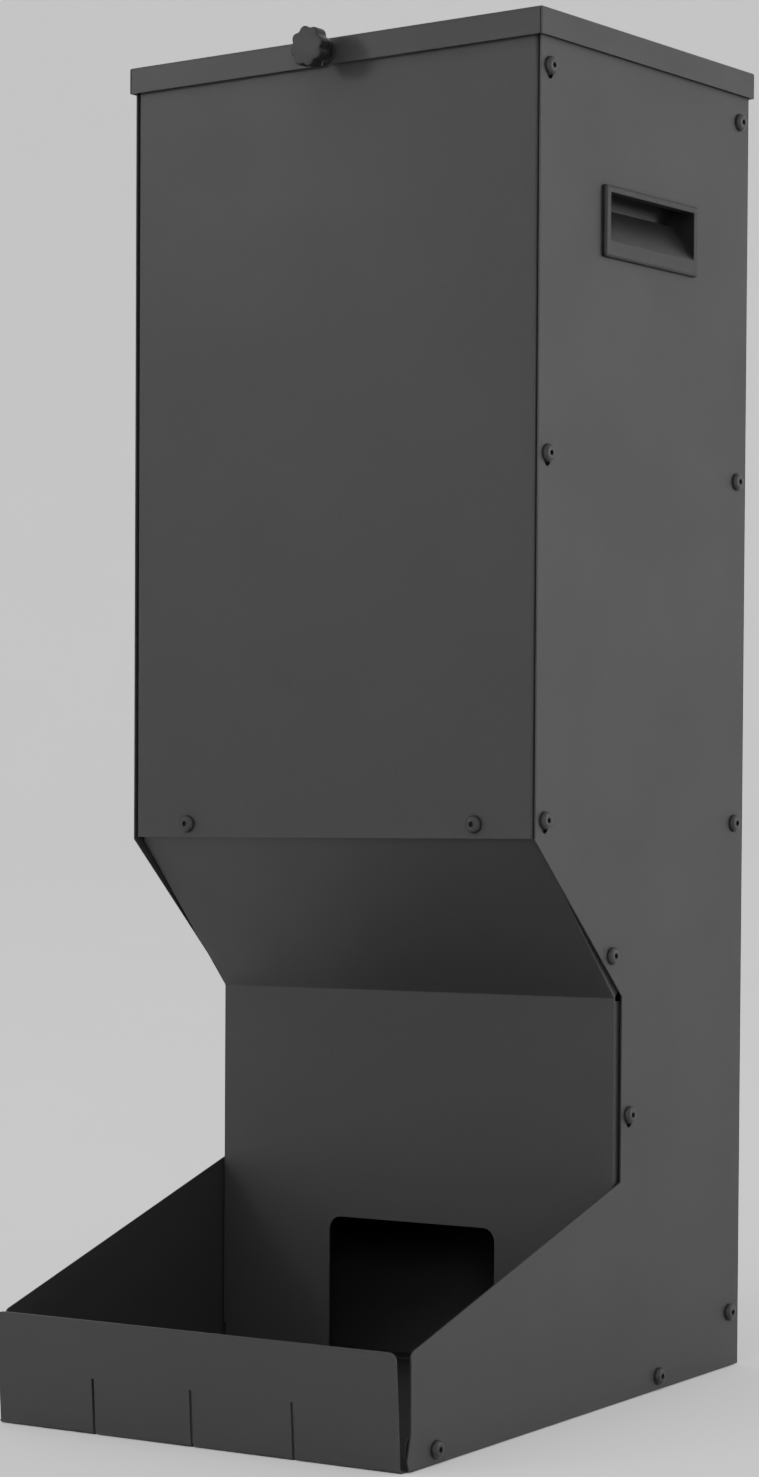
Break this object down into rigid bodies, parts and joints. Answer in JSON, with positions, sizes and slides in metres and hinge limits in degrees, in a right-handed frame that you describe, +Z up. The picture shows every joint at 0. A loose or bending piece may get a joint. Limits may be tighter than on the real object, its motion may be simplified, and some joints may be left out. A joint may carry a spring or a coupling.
{
  "type": "gravity game feeder",
  "caption": "Tall folded-sheet gravity feeder: hopper, hinged lid with star knob, recessed side handles, slanted throat with a feed port, and an open sloping trough with drain slits.",
  "frame": {"origin": "On the level underside of the trough, under the middle of the whole part's box.", "axes": "+Z up from the level underside, from which the hopper leans back 3.83 degrees; +X to the right handle, -Y to the trough."},
  "size_m": [0.342, 0.4556, 0.9086],
  "materials": {
    "powder_coat": "satin",
    "black_plastic": "matte",
    "black_steel": "satin"
  },
  "bodies": {
    "feeder_body": {"back_panel": "powder_coat", "feed_ramp": "powder_coat", "front_nuts": "black_steel", "front_panel": "powder_coat", "front_screws": "black_steel", "handle_left": "black_plastic", "handle_right": "black_plastic", "hinge_body_rivets": "black_steel", "hinge_fixed_leaf_left": "powder_coat", "hinge_fixed_leaf_right": "powder_coat", "hinge_pin_left": "black_steel", "hinge_pin_right": "black_steel", "knob_nut": "black_steel", "left_side_panel": "powder_coat", "ramp_back_rivets": "black_steel", "right_side_panel": "powder_coat", "side_nuts_left": "black_steel", "side_nuts_right": "black_steel", "side_screws_left": "black_steel", "side_screws_right": "black_steel", "throat_panel": "powder_coat", "trough_tray": "powder_coat"},
    "lid": {"lid_pan": "powder_coat", "hinge_lid_leaf_right": "powder_coat", "hinge_lid_leaf_left": "powder_coat", "hinge_lid_rivets": "black_steel"},
    "washer": {"knob_washer": "black_steel"},
    "knob": {"knob_grip": "black_plastic", "knob_stud": "black_steel"}
  },
  "joints": [
    {"name": "lid_hinge", "type": "hinge", "parent": "feeder_body", "child": "lid", "pos_m": [0, 0.22486, 0.8646], "axis": [-1, 0, 0], "range_deg": [0, 110]},
    {"name": "knob_advance", "type": "slide", "parent": "feeder_body", "child": "washer", "axis": [0, -0.9978, 0.0668], "range_m": [0, 0.004]},
    {"name": "knob_turn", "type": "hinge", "parent": "washer", "child": "knob", "pos_m": [0, -0.04204, 0.89449], "axis": [0, -0.9978, 0.0668], "range_deg": [0, 1440]}
  ],
  "couplings": [
    {"joint": "knob_advance", "follows": "knob_turn", "m_per_rad": 0.00015915}
  ]
}
